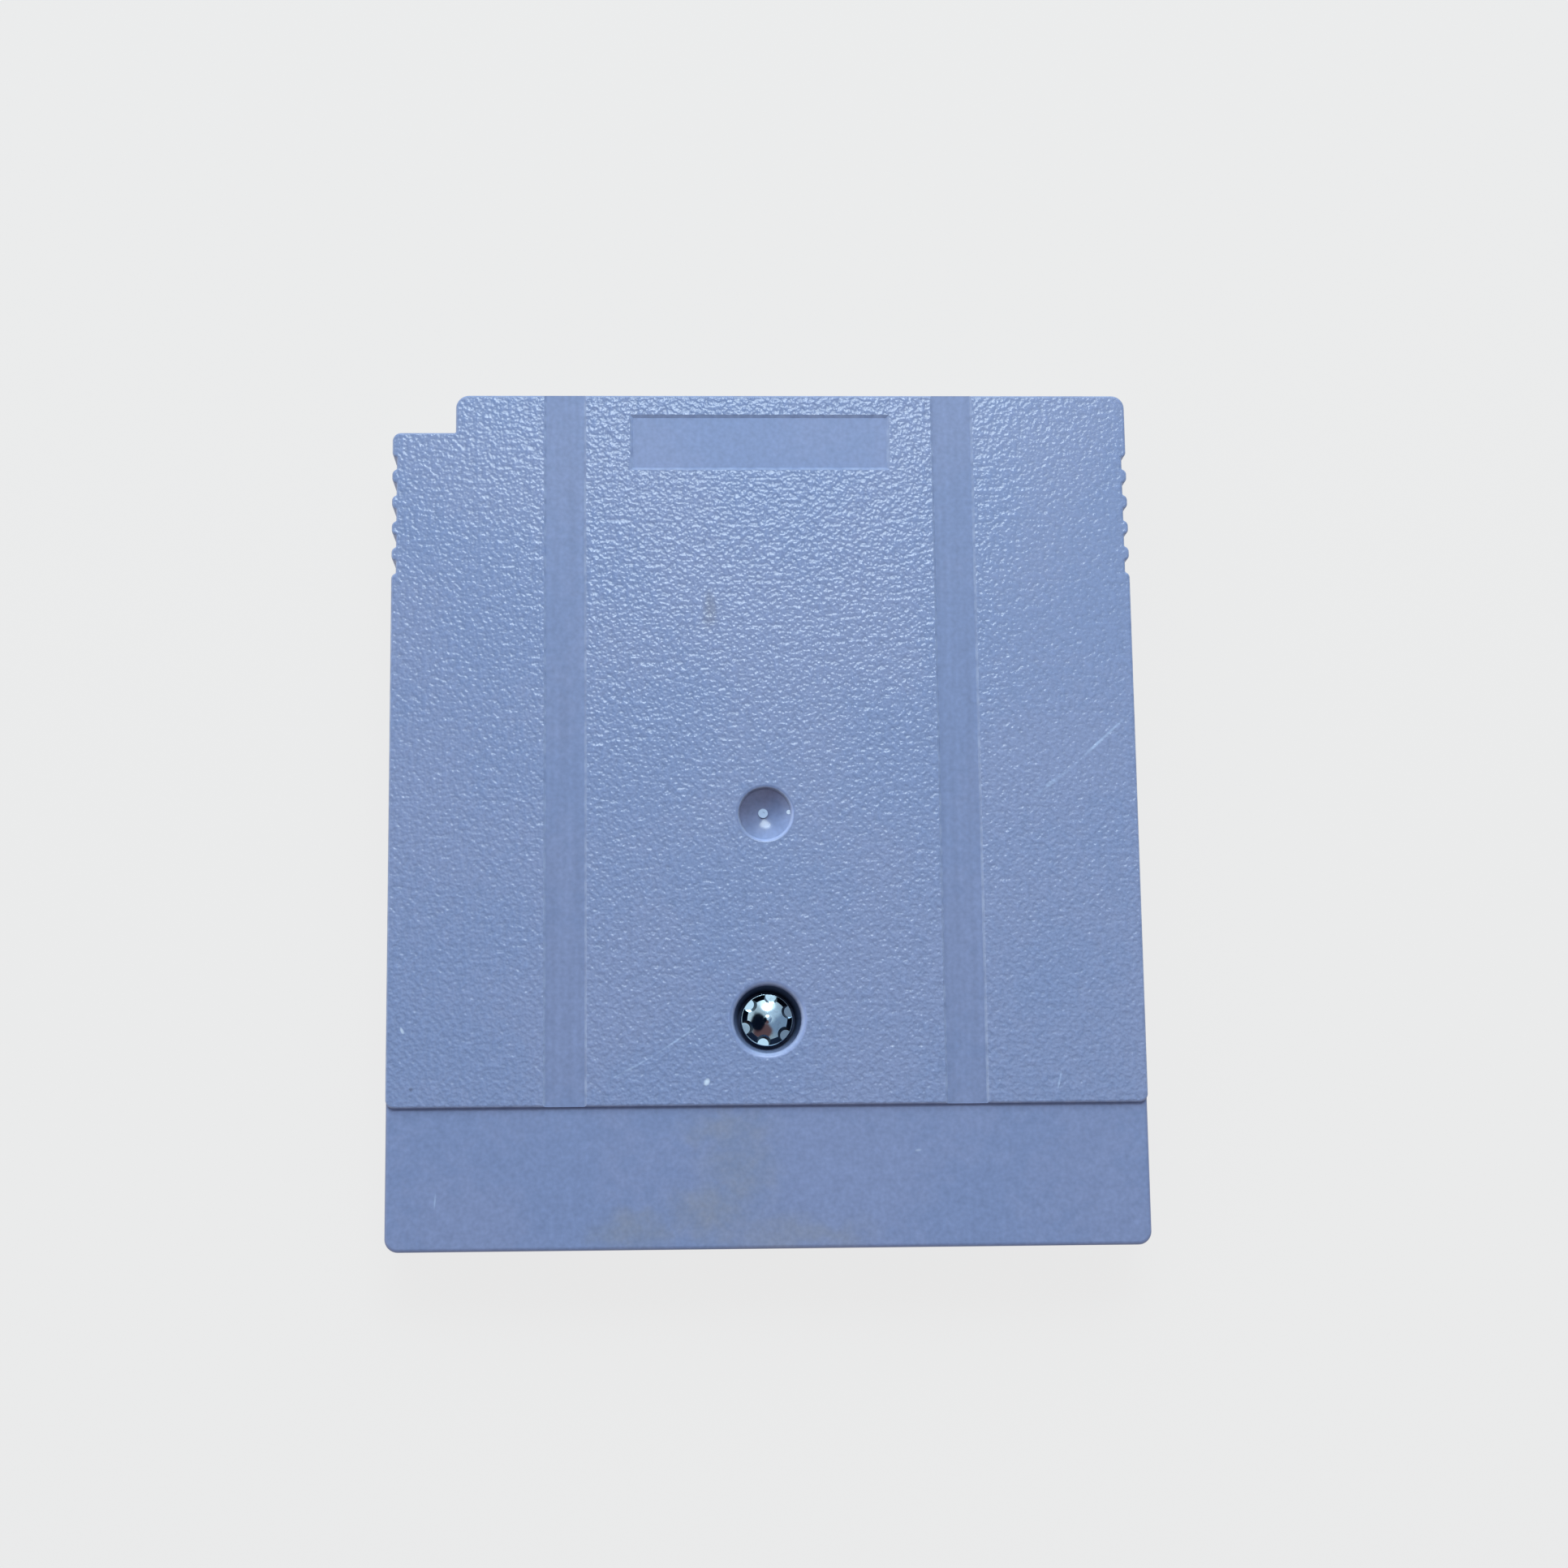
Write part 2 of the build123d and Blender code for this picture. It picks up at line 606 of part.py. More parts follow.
# ------------------------------------------------------------------ assemble
nodes = {}
nodes["rear_shell"] = make_rear_shell()
nodes["front_shell"] = make_front_shell()
nodes["front_label"] = prism(
    Pos(0, LABEL_Y)
    * RectangleRounded(LABEL_W - 2 * LABEL_GAP, LABEL_H - 2 * LABEL_GAP, LABEL_R - LABEL_GAP),
    LABEL_D - LABEL_T,
    LABEL_D,
)
nodes["security_screw"] = make_screw()
nodes["circuit_board"] = make_board()
nodes["edge_contacts"] = make_contacts()

body, leads = package(11.3, 20.5, 2.5, 14.1, 32, 1.27, 0.42)
nodes["program_chip_body"] = place([body], -17.0, 10.0, 0)[0]
nodes["program_chip_leads"] = Compound(children=place(leads, -17.0, 10.0, 0))

body, leads = package(8.4, 18.0, 2.4, 11.8, 28, 1.27, 0.42)
nodes["memory_chip_body"] = place([body], -2.2, 10.5, 0)[0]
nodes["memory_chip_leads"] = Compound(children=place(leads, -2.2, 10.5, 0))

body, leads = package(7.5, 15.4, 2.3, 10.3, 24, 1.27, 0.42)
nodes["bank_chip_body"] = place([body], -14.5, -9.8, 90)[0]
nodes["bank_chip_leads"] = Compound(children=place(leads, -14.5, -9.8, 90))

body, leads = package(4.4, 5.0, 1.5, 6.2, 8, 1.27, 0.42, foot=0.55)
nodes["supply_chip_body"] = place([body], 9.5, -6.6, 90)[0]
nodes["supply_chip_leads"] = Compound(children=place(leads, 9.5, -6.6, 90))

body, leads = package(1.4, 2.9, 1.0, 2.6, 4, 1.9, 0.4, gap=0.06, t=0.12, foot=0.3, chamfer_end=False)
nodes["diode_body"] = place([body], 15.8, -5.0, 90)[0]
nodes["diode_leads"] = Compound(children=place(leads[:3], 15.8, -5.0, 90))

nodes["backup_cell"] = make_cell()
nodes["cell_tab_positive"] = make_tab_positive()
nodes["cell_tab_negative"] = make_tab_negative()

nodes["chip_capacitors"] = Compound(
    children=[
        chip(-17.0, 23.2, 0, 3.2, 1.6, 1.1),
        chip(-2.2, 22.6, 0, 2.0, 1.25, 0.9),
        chip(-14.5, -2.7, 0, 2.0, 1.25, 0.9),
        chip(9.5, -12.2, 0, 2.0, 1.25, 0.9),
    ]
)
nodes["chip_resistors"] = Compound(
    children=[
        chip(20.4, -4.6, 90, 2.0, 1.25, 0.55),
        chip(20.4, -8.6, 90, 2.0, 1.25, 0.55),
        chip(15.8, -9.6, 0, 2.0, 1.25, 0.55),
    ]
)

for name, shape in nodes.items():
    export_step(shape, "parts/" + name + ".step")
    print(name, round(shape.volume, 2), shape.is_valid)
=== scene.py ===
"""The looks of a flat moulded cartridge for a handheld console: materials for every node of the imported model, a plain pale floor,
soft studio light, and a camera that looks down on the rear face."""

import math

import bmesh
import bpy
from mathutils import Matrix, Vector


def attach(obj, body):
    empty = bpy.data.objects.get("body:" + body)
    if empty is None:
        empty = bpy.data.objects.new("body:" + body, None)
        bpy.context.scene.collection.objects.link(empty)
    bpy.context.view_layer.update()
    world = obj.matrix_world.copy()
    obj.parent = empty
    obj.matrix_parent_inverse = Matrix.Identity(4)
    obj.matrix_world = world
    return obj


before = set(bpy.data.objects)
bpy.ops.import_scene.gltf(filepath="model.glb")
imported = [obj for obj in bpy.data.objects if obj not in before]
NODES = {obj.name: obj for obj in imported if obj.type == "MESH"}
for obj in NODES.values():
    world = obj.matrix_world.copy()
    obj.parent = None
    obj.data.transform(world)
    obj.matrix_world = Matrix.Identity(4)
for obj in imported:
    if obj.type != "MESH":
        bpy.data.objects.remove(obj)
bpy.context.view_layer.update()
scene = bpy.context.scene

# ------------------------------------------------------------------ measures, in millimetres, in the frame of the model

Y_STEP = -22.2          # where the raised panel ends
DIMPLE = (0.0, -0.2, 2.03)
GATE = (-0.14, -0.10)
BORE = (0.0, -15.77, 2.55)
SEAM_Z = 3.6

# ------------------------------------------------------------------ node trees


class Net:
    """A node tree with short calls for the nodes used here. A value may be a number, a colour or another node's socket."""

    def __init__(self, tree):
        self.t = tree
        self.t.nodes.clear()

    def node(self, kind, **props):
        made = self.t.nodes.new(kind)
        for k, v in props.items():
            setattr(made, k, v)
        return made

    def put(self, socket, value):
        if value is None:
            return
        if isinstance(value, bpy.types.NodeSocket):
            self.t.links.new(value, socket)
        elif socket.type == "RGBA":
            socket.default_value = tuple(value) + (1.0,) * (4 - len(value))
        else:
            socket.default_value = value

    def math(self, op, a, b=None, c=None, clamp=False):
        m = self.node("ShaderNodeMath", operation=op, use_clamp=clamp)
        for s, v in zip(m.inputs, (a, b, c)):
            self.put(s, v)
        return m.outputs[0]

    def add(self, a, b):
        return self.math("ADD", a, b)

    def sub(self, a, b):
        return self.math("SUBTRACT", a, b)

    def mul(self, a, b):
        return self.math("MULTIPLY", a, b)

    def mad(self, a, b, c):
        return self.math("MULTIPLY_ADD", a, b, c)

    def top(self, *vs):
        out = vs[0]
        for v in vs[1:]:
            out = self.math("MAXIMUM", out, v)
        return out

    def low(self, *vs):
        out = vs[0]
        for v in vs[1:]:
            out = self.math("MINIMUM", out, v)
        return out

    def inv(self, a):
        return self.math("SUBTRACT", 1.0, a)

    def vec(self, op, a, b=None, c=None, scale=None):
        m = self.node("ShaderNodeVectorMath", operation=op)
        for s, v in zip(m.inputs, (a, b, c)):
            self.put(s, v)
        if scale is not None:
            self.put(m.inputs["Scale"], scale)
        return m.outputs["Value"] if op in ("LENGTH", "DISTANCE", "DOT_PRODUCT") else m.outputs["Vector"]

    def xyz(self, v):
        m = self.node("ShaderNodeSeparateXYZ")
        self.put(m.inputs[0], v)
        return m.outputs[0], m.outputs[1], m.outputs[2]

    def join(self, x, y, z):
        m = self.node("ShaderNodeCombineXYZ")
        for s, v in zip(m.inputs, (x, y, z)):
            self.put(s, v)
        return m.outputs[0]

    def mm(self):
        """The place on the object, in millimetres."""
        tex = self.node("ShaderNodeTexCoord")
        return self.vec("SCALE", tex.outputs["Object"], scale=1000.0)

    def normal(self):
        return self.node("ShaderNodeNewGeometry").outputs["Normal"]

    def ease(self, v, a, b, lo=0.0, hi=1.0):
        """Smooth step from lo at a to hi at b."""
        m = self.node("ShaderNodeMapRange", interpolation_type="SMOOTHSTEP", clamp=True)
        if a > b:
            a, b, lo, hi = b, a, hi, lo
        for s, val in zip(m.inputs, (v, a, b, lo, hi)):
            self.put(s, val)
        return m.outputs[0]

    def line(self, v, a, b, lo=0.0, hi=1.0):
        m = self.node("ShaderNodeMapRange", interpolation_type="LINEAR", clamp=True)
        for s, val in zip(m.inputs, (v, a, b, lo, hi)):
            self.put(s, val)
        return m.outputs[0]

    def noise(self, p, scale, detail=2.0, rough=0.5, colour=False, dims="3D"):
        m = self.node("ShaderNodeTexNoise", noise_dimensions=dims)
        self.put(m.inputs["Vector"], p)
        m.inputs["Scale"].default_value = scale
        m.inputs["Detail"].default_value = detail
        m.inputs["Roughness"].default_value = rough
        return m.outputs[1 if colour else 0]

    def cells(self, p, scale, feature="F1", metric="EUCLIDEAN", rand=1.0, smooth=0.0, out="Distance"):
        m = self.node("ShaderNodeTexVoronoi", voronoi_dimensions="3D", feature=feature)
        if feature not in ("DISTANCE_TO_EDGE", "N_SPHERE_RADIUS"):
            m.distance = metric
        self.put(m.inputs["Vector"], p)
        m.inputs["Scale"].default_value = scale
        m.inputs["Randomness"].default_value = rand
        if feature == "SMOOTH_F1":
            m.inputs["Smoothness"].default_value = smooth
        return m.outputs[out]

    def mix(self, fac, a, b, how="MIX"):
        m = self.node("ShaderNodeMix", data_type="RGBA", blend_type=how, clamp_factor=True)
        self.put(m.inputs[0], fac)
        self.put(m.inputs[6], a)
        self.put(m.inputs[7], b)
        return m.outputs[2]

    def blend(self, fac, a, b):
        m = self.node("ShaderNodeMix", data_type="FLOAT", clamp_factor=True)
        self.put(m.inputs[0], fac)
        self.put(m.inputs[2], a)
        self.put(m.inputs[3], b)
        return m.outputs[0]

    def ramp(self, fac, stops, how="LINEAR"):
        m = self.node("ShaderNodeValToRGB")
        m.color_ramp.interpolation = how
        el = m.color_ramp.elements
        while len(el) < len(stops):
            el.new(0.5)
        for e, (at, col) in zip(el, stops):
            e.position = at
            e.color = tuple(col) + (1.0,)
        self.put(m.inputs[0], fac)
        return m.outputs[0]

    def gain(self, colour, by):
        """A colour times a number that varies."""
        return self.vec("SCALE", colour, scale=by)

    def bump(self, height, distance_mm, strength=1.0, normal=None):
        m = self.node("ShaderNodeBump")
        self.put(m.inputs["Strength"], strength)
        m.inputs["Distance"].default_value = distance_mm / 1000.0
        self.put(m.inputs["Height"], height)
        self.put(m.inputs["Normal"], normal)
        return m.outputs[0]

    # distances on the plane of a face, in millimetres

    def to_point(self, x, y, cx, cy, sx=1.0, sy=1.0):
        dx = self.mul(self.sub(x, cx), 1.0 / sx)
        dy = self.mul(self.sub(y, cy), 1.0 / sy)
        return self.math("SQRT", self.mad(dx, dx, self.mul(dy, dy)))

    def to_blot(self, flat, cx, cy, sx, sy):
        """Distance to a point, in units of the half sizes sx and sy."""
        return self.vec("LENGTH", self.vec("MULTIPLY_ADD", flat, (1.0 / sx, 1.0 / sy, 0.0), (-cx / sx, -cy / sy, 0.0)))

    def to_dash(self, flat, a, b, wide):
        """Distance to the middle of a dash drawn from a to b, 1 at its edge: a long ellipse of half width wide."""
        m = self.node("ShaderNodeMapping", vector_type="TEXTURE")
        self.put(m.inputs["Vector"], flat)
        dx, dy = b[0] - a[0], b[1] - a[1]
        m.inputs["Location"].default_value = ((a[0] + b[0]) / 2, (a[1] + b[1]) / 2, 0.0)
        m.inputs["Rotation"].default_value = (0.0, 0.0, math.atan2(dy, dx))
        m.inputs["Scale"].default_value = (math.hypot(dx, dy) / 2, wide, 1.0)
        return self.vec("LENGTH", m.outputs[0])

    def to_box(self, x, y, cx, cy, w, h):
        """Signed distance to a rectangle: negative inside."""
        dx = self.sub(self.math("ABSOLUTE", self.sub(x, cx)), w / 2)
        dy = self.sub(self.math("ABSOLUTE", self.sub(y, cy)), h / 2)
        return self.top(dx, dy)


def material(name):
    mat = bpy.data.materials.new(name)
    mat.use_nodes = True
    net = Net(mat.node_tree)
    out = net.node("ShaderNodeOutputMaterial")
    bsdf = net.node("ShaderNodeBsdfPrincipled")
    net.t.links.new(bsdf.outputs[0], out.inputs["Surface"])
    net.out, net.bsdf = out, bsdf
    return mat, net


def finish(net, colour=None, rough=None, metal=None, normal=None, **constants):
    for name, v in (("Base Color", colour), ("Roughness", rough), ("Metallic", metal), ("Normal", normal)):
        net.put(net.bsdf.inputs[name], v)
    for name, v in constants.items():
        net.put(net.bsdf.inputs[name.replace("_", " ")], v)


# ------------------------------------------------------------------ shell plastic

PLASTIC = (0.197, 0.258, 0.453)
PLASTIC_2 = (0.208, 0.259, 0.443)
GRAIN_MM = 0.090        # depth of the grain at its deepest


def shell_plastic(name, rear):
    mat, n = material(name)
    p = n.mm()
    x, y, z = n.xyz(p)
    turned = n.normal()
    _, _, nz = n.xyz(turned)
    out = nz if rear else n.mul(nz, -1.0)
    facing = n.ease(out, 0.55, 0.9)
    side = n.ease(out, 0.75, 0.35)
    flat = n.vec("MULTIPLY", p, (1.0, 1.0, 0.0))

    # the broad faces were spark eroded in the mould, the recesses and walls left satin
    panel = n.ease(z, 7.70, 7.76) if rear else n.ease(z, 0.10, 0.045)
    grained = n.mul(panel, facing)
    if rear:
        to_bore = n.to_blot(flat, BORE[0], BORE[1], 1.0, 1.0)
        to_dimple = n.to_blot(flat, DIMPLE[0], DIMPLE[1], 1.0, 1.0)
        past_edge = n.low(n.sub(to_bore, BORE[2]), n.sub(to_dimple, DIMPLE[2] - 0.12))
        off_lips = n.ease(past_edge, 0.26, 0.50)
        grained = n.mul(grained, off_lips)
    # handled flanks are rubbed smoother than the middle, most at the grip end, and so is the middle where a thumb pushes it in
    aside = n.math("ABSOLUTE", x)
    rubbed = n.ease(y, -8.0, 22.0)
    flanks = n.blend(n.ease(x, -16.0, 16.0), n.mad(rubbed, -0.155, 0.445), n.mad(rubbed, -0.245, 0.445))
    middle = n.ease(y, -14.0, 2.0, 0.51, 0.455)
    calm = n.ease(to_dimple, 1.9, 2.2, 0.004, 0.035) if rear else 0.035
    bite = n.mad(grained, n.blend(n.ease(aside, 12.0, 21.0), middle, flanks), calm)
    g0 = n.noise(p, 1.5, 0.0, dims="2D")
    g1 = n.noise(n.vec("ADD", p, (17.9, 5.1, 0.0)), 3.1, 0.0, dims="2D")
    g2 = n.noise(n.vec("ADD", p, (31.7, 11.3, 0.0)), 5.6, 0.0, dims="2D")
    height = n.mad(g0, 0.6, n.mad(g2, 0.42, g1))
    grain = n.sub(height, 1.01)                 # about 0.15 either way

    # colour: slow clouds, a finer mottle, faint streaks along the satin bands
    cloud = n.noise(p, 0.10, 1.0, 0.5)
    mottle = n.noise(p, 0.9, 2.0, 0.65)
    level = n.mad(n.sub(mottle, 0.5), n.blend(grained, 0.20, 0.10), n.mad(cloud, 0.08, 0.96))
    level = n.mul(level, n.blend(grained, n.mad(grain, n.mul(facing, 0.15), 0.96), n.mad(grain, 0.20, 1.075)))
    if rear:
        level = n.mul(level, n.mad(n.mul(n.ease(y, -22.0, -22.4), facing), 0.05, 1.0))
        streak = n.noise(n.vec("MULTIPLY", p, (2.4, 0.07, 0.0)), 1.0, 0.0, dims="2D")
        level = n.mul(level, n.mad(n.sub(streak, 0.5), n.mul(n.mul(n.ease(z, 7.48, 7.56, 0.0, 0.13), n.ease(aside, 11.4, 12.0)), n.inv(panel)), 1.0))
        level = n.mul(level, n.mad(n.mul(n.ease(y, 26.4, 26.8), n.ease(aside, 11.0, 10.5)), n.mul(n.inv(panel), 0.08), 1.0))
    colour = n.gain(n.mix(n.ease(n.add(cloud, n.mul(mottle, 0.5)), 0.60, 0.90), PLASTIC, PLASTIC_2), level)
    colour = n.vec("MULTIPLY", colour, n.mix(grained, (1.015, 1.0, 1.02), (1.04, 1.01, 0.995)))
    rough = n.blend(grained, n.mad(mottle, 0.12, 0.42), n.mad(grain, -0.10, n.ease(y, -8.0, 20.0, 0.25, 0.18)))

    if rear:
        up = n.mul(n.ease(z, 7.0, 7.2), facing)
        # a brownish film that ran and dried on the lower strip, and one small mark near the grip end
        wob = n.noise(p, 0.55, 1.0, 0.5, colour=True, dims="2D")
        wet = n.vec("MULTIPLY_ADD", wob, (2.4, 2.4, 0.0), n.vec("SUBTRACT", flat, (1.2, 1.2, 0.0)))
        film_and_shade = None
        for cx, cy, sx, sy, amount in (
            (-3.0, -23.9, 3.8, 1.7, 0.70), (-2.2, -26.9, 3.2, 3.0, 0.75), (-4.2, -30.0, 3.8, 2.6, 0.85), (-10.2, -31.4, 3.4, 1.8, 0.85),
            (1.8, -31.7, 6.0, 1.4, 0.75),
        ):
            blot = n.ease(n.to_blot(wet, cx, cy, sx, sy), 1.35, 0.15, 0.0, amount)
            film_and_shade = blot if film_and_shade is None else n.top(film_and_shade, blot)
        film_and_shade = n.mul(film_and_shade, n.ease(y, Y_STEP + 0.1, Y_STEP - 0.2))
        film_and_shade = n.mul(film_and_shade, n.line(mottle, 0.20, 0.70, 0.45, 1.0))
        colour = n.mix(n.mul(film_and_shade, up), colour, n.vec("MULTIPLY", colour, (1.09, 0.98, 0.78)))
        mark = n.ease(n.to_blot(n.vec("MULTIPLY_ADD", wob, (0.4, 0.4, 0.0), flat), -3.86, 15.85, 0.80, 2.3), 1.0, 0.1, 0.0, 0.75)
        colour = n.mix(mark, colour, n.vec("MULTIPLY", colour, (0.92, 0.84, 0.73)))

        # the two lips are polished, and are painted paler on their lower-right side: a painted highlight where their
        # rounded edge faces the light
        lips = n.mul(n.mul(n.inv(off_lips), n.ease(past_edge, -0.12, -0.02)), n.ease(z, 7.36, 7.44))
        rough = n.blend(n.mul(lips, facing), rough, 0.24)
        across = n.vec("DOT_PRODUCT", flat, (0.62, -0.78, 0.0))
        ring = n.ease(n.math("ABSOLUTE", n.sub(to_dimple, DIMPLE[2] + 0.03)), 0.18, 0.06)
        pale = n.mul(ring, n.ease(across, 0.1, 1.6, 0.05, 0.62))
        ring = n.ease(n.math("ABSOLUTE", n.sub(to_bore, BORE[2] + 0.17)), 0.34, 0.12)
        pale = n.top(pale, n.mul(ring, n.ease(across, 12.4, 14.2, 0.12, 0.55)))
        pale = n.mul(pale, n.ease(z, 7.36, 7.44))
        colour = n.vec("MULTIPLY_ADD", n.gain(colour, pale), (1.08, 0.98, 0.90), colour)
        # the screw well is painted dark down its bore as painted shade, less on the wall that faces the light; the
        # finger dimple is polished, with painted shade on its far upper side and a painted highlight on its lower-right
        # side
        bore_shade = n.mul(n.ease(to_bore, 3.0, 2.7), n.ease(z, 7.46, 7.20))
        bore_shade = n.mul(bore_shade, n.ease(n.vec("DOT_PRODUCT", turned, (0.35, 0.94, 0.0)), -0.2, 0.9, 0.95, 0.10))
        colour = n.mix(bore_shade, colour, (0.018, 0.042, 0.115))
        well = n.mul(n.ease(to_dimple, 2.14, 2.04), n.ease(z, 7.79, 7.70))
        # painted shade: the far upper side of the dimple bowl painted darker and warmer
        film_and_shade = n.ease(n.vec("DOT_PRODUCT", flat, (-0.45, 0.89, 0.0)), -1.5, 1.2)
        colour = n.mix(n.mul(well, film_and_shade), colour, n.vec("MULTIPLY", colour, (0.68, 0.58, 0.56)))
        # painted highlight: the lower-right side of the dimple bowl painted lighter
        colour = n.gain(colour, n.mad(well, n.ease(across, 0.4, 1.7, 0.0, 0.22), 1.0))
        # painted highlight: the gate nub painted lighter
        nub = n.ease(n.to_blot(flat, GATE[0], GATE[1], 1.0, 1.0), 0.40, 0.34)
        colour = n.mix(n.mul(nub, 0.60), colour, (0.38, 0.50, 0.72))
        rough = n.blend(well, n.blend(bore_shade, rough, 0.7), n.blend(nub, 0.14, 0.40))

        # scratches and nicks: burnished lines, broken up along their length
        broken = n.line(mottle, 0.40, 0.58, 0.35, 1.0)
        wear_and_glint = None
        for a, b, half, amount in (
            ((28.6, 7.90), (22.9, 2.70), 0.16, 0.85), ((24.0, 3.60), (19.8, 0.50), 0.24, 0.52),
            ((-12.2, -20.40), (-8.4, -18.40), 0.12, 0.75), ((-9.4, -19.00), (-3.1, -14.90), 0.12, 0.75),
            ((22.05, -19.66), (21.67, -21.37), 0.13, 0.90), ((-24.73, -28.20), (-24.84, -29.80), 0.10, 0.55),
        ):
            line = n.ease(n.to_dash(flat, a, b, half), 1.0, 0.15, 0.0, amount)
            wear_and_glint = line if wear_and_glint is None else n.top(wear_and_glint, line)
        colour = n.mix(n.mul(n.mul(wear_and_glint, broken), up), colour, (0.40, 0.50, 0.74))
        # a painted glint: a small pale spot on the dimple's right wall, gathered with the nicks below
        wear_and_glint = n.mul(n.ease(n.to_blot(flat, 1.80, -0.05, 1.0, 1.0), 0.19, 0.12), 1.6)
        for a, b, half, amount in (
            ((-4.80, -20.76), (-4.42, -20.12), 0.27, 1.0), ((-27.45, -16.15), (-27.15, -16.75), 0.15, 0.75),
            ((10.85, -25.65), (11.45, -25.58), 0.13, 0.28),
        ):
            wear_and_glint = n.top(wear_and_glint, n.ease(n.to_dash(flat, a, b, half), 1.0, 0.35, 0.0, amount))
        colour = n.mix(n.mul(wear_and_glint, up), colour, (0.60, 0.69, 0.86))
        speck = n.mul(n.ease(n.to_blot(flat, -26.6, -20.8, 1.0, 1.0), 0.22, 0.05, 0.0, 0.5), up)
        colour = n.mix(speck, colour, (0.05, 0.06, 0.10))
        rim = n.mul(n.mul(n.ease(z, 7.5, 7.62), n.ease(nz, 0.97, 0.8)), n.ease(nz, 0.05, 0.3))
    else:
        rim = n.mul(n.mul(n.ease(z, 0.30, 0.18), n.ease(out, 0.97, 0.8)), n.ease(out, 0.05, 0.3))

    # edges along the fillets painted paler: partly rubbed wear, partly a painted highlight
    colour = n.mix(n.mul(rim, n.line(mottle, 0.38, 0.64, 0.10, 0.40)), colour, (0.44, 0.52, 0.72))
    # painted reflection: the side walls tinted warm, as from a brown surface beside them
    colour = n.mix(n.mul(side, n.line(cloud, 0.30, 0.70, 0.10, 0.40)), colour, n.vec("MULTIPLY", colour, (1.06, 0.93, 0.72)))
    seam = n.mul(n.ease(n.math("ABSOLUTE", n.sub(z, SEAM_Z)), 0.16, 0.03, 0.0, 0.55), side)
    colour = n.mix(seam, colour, (0.05, 0.05, 0.06))

    finish(n, colour, rough, None, n.bump(height, GRAIN_MM, bite), Specular_IOR_Level=0.5, IOR=1.48)
    return mat


# ------------------------------------------------------------------ metals


def screw_metal():
    mat, n = material("screw_nickel")
    p = n.mm()
    x, y, z = n.xyz(p)
    dx, dy = n.sub(x, BORE[0]), n.sub(y, BORE[1])
    r = n.math("SQRT", n.mad(dx, dx, n.mul(dy, dy)))
    spots = n.noise(p, 3.2, 3.0, 0.6)
    turned = n.noise(n.join(n.mul(r, 26.0), n.mul(n.math("ARCTAN2", dy, dx), 0.4), n.mul(z, 9.0)), 1.0, 2.0, 0.6)
    hair = n.noise(n.vec("MULTIPLY", p, (9.0, 1.2, 1.0)), 1.6, 2.0, 0.6)
    colour = n.mix(n.ease(spots, 0.50, 0.75), (0.56, 0.80, 0.95), (0.47, 0.65, 0.78))
    # the steep flanks below the dome painted nearly black: a painted dark reflection of the shaded bore around them
    _, _, nz = n.xyz(n.normal())
    steep = n.mul(n.ease(nz, 0.89, 0.78), n.ease(z, 6.45, 6.56))
    colour = n.mix(n.mul(steep, 0.93), colour, (0.02, 0.03, 0.05))
    # the notch floors painted darker, most on the right side and at one spot lower left, as painted dark reflections;
    # the shank is dull
    floors = n.ease(z, 6.60, 6.53)
    painted_dim_floors = n.ease(n.mad(n.noise(p, 1.1, 1.0, 0.5), 0.6, dx), 0.75, 1.35, 0.0, 0.92)
    painted_dim_floors = n.top(painted_dim_floors, n.ease(n.to_point(dx, dy, -1.70, -0.72), 0.75, 0.30, 0.0, 0.62))
    colour = n.mix(n.mul(floors, painted_dim_floors), colour, (0.13, 0.19, 0.27))
    colour = n.mix(n.ease(z, 6.40, 6.10, 0.0, 0.70), colour, (0.12, 0.115, 0.11))
    rough = n.mad(spots, 0.06, n.mad(hair, 0.04, 0.035))
    height = n.add(n.mul(turned, 0.35), n.mul(hair, 0.35))
    finish(n, colour, rough, None, n.bump(height, 0.0022), Metallic=1.0)
    return mat


def tinned(name, colour, tarnish, rough0, stretch=(1.0, 1.0, 1.0), welds=()):
    mat, n = material(name)
    p = n.mm()
    x, y, _ = n.xyz(p)
    a = n.noise(p, 1.4, 3.0, 0.6)
    b = n.noise(n.vec("MULTIPLY", p, stretch), 6.0, 3.0, 0.65)
    c = n.mix(n.ease(a, 0.46, 0.72), colour, tarnish)
    c = n.gain(c, n.mad(b, 0.20, 0.90))
    h = b
    for wx, wy in welds:
        d = n.to_point(x, y, wx, wy)
        pit = n.ease(d, 0.42, 0.10)
        h = n.sub(h, n.mul(pit, 6.0))
        c = n.mix(n.mul(n.ease(d, 0.75, 0.30), 0.45), c, (0.16, 0.13, 0.11))
    finish(n, c, n.mad(a, 0.22, rough0), None, n.bump(h, 0.010), Metallic=1.0)
    return mat


def gold_plating():
    mat, n = material("contact_gold")
    p = n.mm()
    _, y, _ = n.xyz(p)
    cloud = n.noise(p, 0.9, 3.0, 0.6)
    wipe = n.noise(n.vec("MULTIPLY", p, (11.0, 0.35, 1.0)), 1.6, 2.0, 0.6)
    used = n.mul(n.ease(y, -25.0, -26.5), n.ease(wipe, 0.50, 0.68))
    c = n.mix(n.ease(cloud, 0.45, 0.75), (0.86, 0.61, 0.24), (0.74, 0.49, 0.18))
    c = n.mix(n.mul(used, 0.55), c, (0.93, 0.76, 0.46))
    finish(n, c, n.mad(cloud, 0.16, n.mad(used, -0.06, 0.30)), None, n.bump(wipe, 0.004), Metallic=1.0)
    return mat


